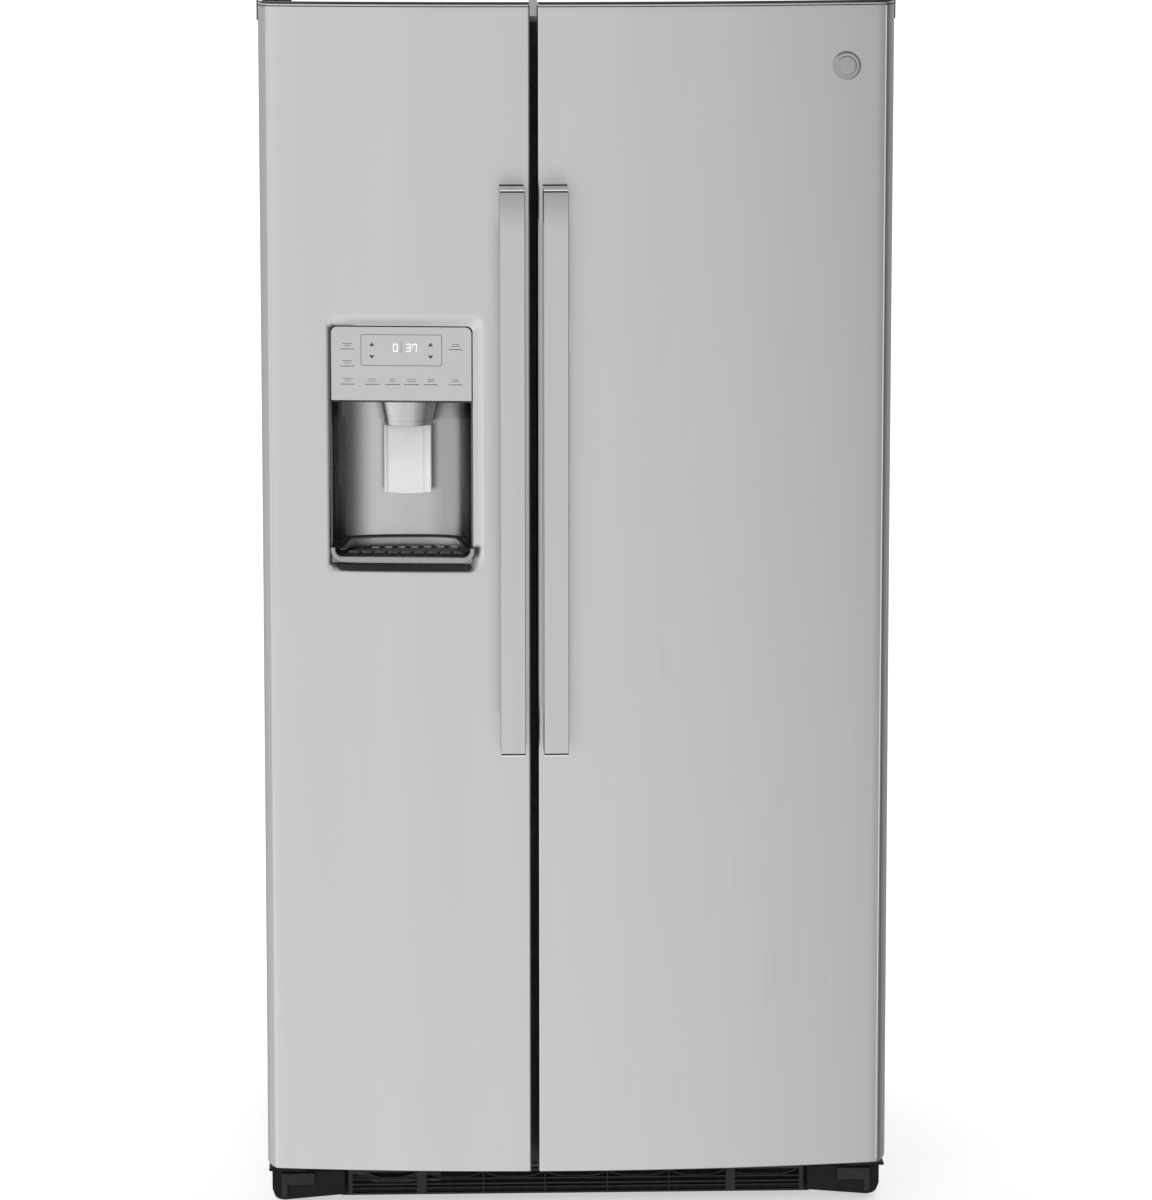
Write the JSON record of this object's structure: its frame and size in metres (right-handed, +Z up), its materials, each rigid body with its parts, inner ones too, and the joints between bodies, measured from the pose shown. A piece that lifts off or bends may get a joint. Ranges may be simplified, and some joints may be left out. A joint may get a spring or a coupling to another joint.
{
  "type": "side by side refrigerator",
  "caption": "Free-standing side by side refrigerator with bowed steel doors, bar handles, an ice and water dispenser in the freezer door, and full interior.",
  "frame": {"origin": "on the floor, under the middle of the whole object's box", "axes": "+Z up, -Y out of the doors, +X to the right when facing the doors"},
  "size_m": [0.908, 0.881, 1.775],
  "materials": {
    "stainless": "satin",
    "satin_silver": "satin",
    "frosted_plastic": "satin",
    "badge_chrome": "polished",
    "case_paint": "satin",
    "black_paint": "satin",
    "black_plastic": "satin",
    "dark_plastic": "satin",
    "white_liner": "satin",
    "white_plastic": "satin",
    "clear_plastic": "gloss",
    "shelf_glass": "gloss",
    "zinc_steel": "satin",
    "aluminium": "satin",
    "gasket_rubber": "matte",
    "foam": "matte"
  },
  "bodies": {
    "cabinet": {"outer_case": "case_paint", "insulation_foam": "foam", "freezer_liner": "white_liner", "fresh_food_liner": "white_liner", "back_panel": "zinc_steel", "base_pan": "zinc_steel", "machine_cover": "dark_plastic", "power_inlet": "black_plastic", "compressor": "black_paint", "condenser_coil": "black_paint", "water_valve": "white_plastic", "evaporator_cover": "white_liner", "evaporator_coil": "aluminium", "base_grille": "black_plastic", "left_leg_bracket": "black_paint", "right_leg_bracket": "black_paint", "left_top_hinge": "zinc_steel", "right_top_hinge": "zinc_steel", "left_hinge_cover": "dark_plastic", "right_hinge_cover": "dark_plastic", "ice_maker": "white_plastic", "bucket_shelf": "shelf_glass", "freezer_shelf": "shelf_glass", "upper_glass_shelf": "shelf_glass", "lower_glass_shelf": "shelf_glass", "crisper_cover": "shelf_glass", "filter_housing": "white_plastic"},
    "freezer_door": {"freezer_door_skin": "stainless", "freezer_door_liner": "white_liner", "freezer_door_gasket": "gasket_rubber", "freezer_door_top_cap": "black_plastic", "freezer_handle": "stainless", "dispenser_housing": "satin_silver", "dispenser_panel": "satin_silver", "ice_chute": "satin_silver", "freezer_bin_upper": "clear_plastic", "freezer_bin_middle": "clear_plastic", "freezer_bin_lower": "clear_plastic"},
    "fresh_food_door": {"fresh_food_door_skin": "stainless", "fresh_food_door_liner": "white_liner", "fresh_food_door_gasket": "gasket_rubber", "fresh_food_door_top_cap": "black_plastic", "fresh_food_handle": "stainless", "badge": "badge_chrome", "fresh_food_bin_upper": "clear_plastic", "fresh_food_bin_middle": "clear_plastic", "fresh_food_bin_lower": "clear_plastic"},
    "paddle": {"dispenser_paddle": "frosted_plastic"},
    "tray": {"drip_tray": "satin_silver"},
    "bucket": {"ice_bucket": "clear_plastic"},
    "basket": {"freezer_basket": "clear_plastic"},
    "upper_drawer": {"crisper_upper": "clear_plastic"},
    "lower_drawer": {"crisper_lower": "clear_plastic"},
    "filter": {"water_filter": "white_plastic"},
    "warm_fan": {"condenser_fan": "black_plastic"},
    "cold_fan": {"evaporator_fan": "white_plastic"},
    "left_roller": {"rear_roller_left": "black_plastic"},
    "right_roller": {"rear_roller_right": "black_plastic"},
    "left_leg": {"leveling_leg_left": "zinc_steel"},
    "right_leg": {"leveling_leg_right": "zinc_steel"}
  },
  "joints": [
    {"name": "freezer_door_hinge", "type": "hinge", "parent": "cabinet", "child": "freezer_door", "pos_m": [-0.43, -0.323, 0.9], "axis": [0, 0, -1], "range_deg": [0, 130]},
    {"name": "fresh_food_door_hinge", "type": "hinge", "parent": "cabinet", "child": "fresh_food_door", "pos_m": [0.43, -0.323, 0.9], "axis": [0, 0, 1], "range_deg": [0, 130]},
    {"name": "paddle_press", "type": "hinge", "parent": "freezer_door", "child": "paddle", "pos_m": [-0.243, -0.314, 1.156], "axis": [1, 0, 0], "range_deg": [0, 6], "stiffness_Nm_per_rad": 1},
    {"name": "drip_tray_slide", "type": "slide", "parent": "freezer_door", "child": "tray", "axis": [0, -1, 0], "range_m": [0, 0.1]},
    {"name": "ice_bucket_slide", "type": "slide", "parent": "cabinet", "child": "bucket", "axis": [0, -1, 0], "range_m": [0, 0.15]},
    {"name": "freezer_basket_slide", "type": "slide", "parent": "cabinet", "child": "basket", "axis": [0, -1, 0], "range_m": [0, 0.2]},
    {"name": "crisper_upper_slide", "type": "slide", "parent": "cabinet", "child": "upper_drawer", "axis": [0, -1, 0], "range_m": [0, 0.2]},
    {"name": "crisper_lower_slide", "type": "slide", "parent": "cabinet", "child": "lower_drawer", "axis": [0, -1, 0], "range_m": [0, 0.2]},
    {"name": "water_filter_twist", "type": "hinge", "parent": "cabinet", "child": "filter", "pos_m": [0.345, 0.1, 1.624], "axis": [0, 1, 0], "range_deg": [0, 90]},
    {"name": "condenser_fan_spin", "type": "hinge", "parent": "cabinet", "child": "warm_fan", "pos_m": [0.04, 0.33, 0.185], "axis": [1, 0, 0], "continuous": true},
    {"name": "evaporator_fan_spin", "type": "hinge", "parent": "cabinet", "child": "cold_fan", "pos_m": [-0.243, 0.311, 1.222], "axis": [0, 1, 0], "continuous": true},
    {"name": "left_roller_axle", "type": "hinge", "parent": "cabinet", "child": "left_roller", "pos_m": [-0.395, 0.4, 0.022], "axis": [1, 0, 0], "continuous": true},
    {"name": "right_roller_axle", "type": "hinge", "parent": "cabinet", "child": "right_roller", "pos_m": [0.395, 0.4, 0.022], "axis": [1, 0, 0], "continuous": true},
    {"name": "left_leg_screw", "type": "hinge", "parent": "cabinet", "child": "left_leg", "pos_m": [-0.432, -0.274, 0.02], "axis": [0, 0, 1], "continuous": true},
    {"name": "right_leg_screw", "type": "hinge", "parent": "cabinet", "child": "right_leg", "pos_m": [0.432, -0.274, 0.02], "axis": [0, 0, 1], "continuous": true}
  ],
  "couplings": [
    {"joint": "ice_bucket_slide", "follows": "freezer_door_hinge", "m_per_rad": 0.066},
    {"joint": "freezer_basket_slide", "follows": "freezer_door_hinge", "m_per_rad": 0.088},
    {"joint": "crisper_upper_slide", "follows": "fresh_food_door_hinge", "m_per_rad": 0.088},
    {"joint": "crisper_lower_slide", "follows": "fresh_food_door_hinge", "m_per_rad": 0.088}
  ]
}
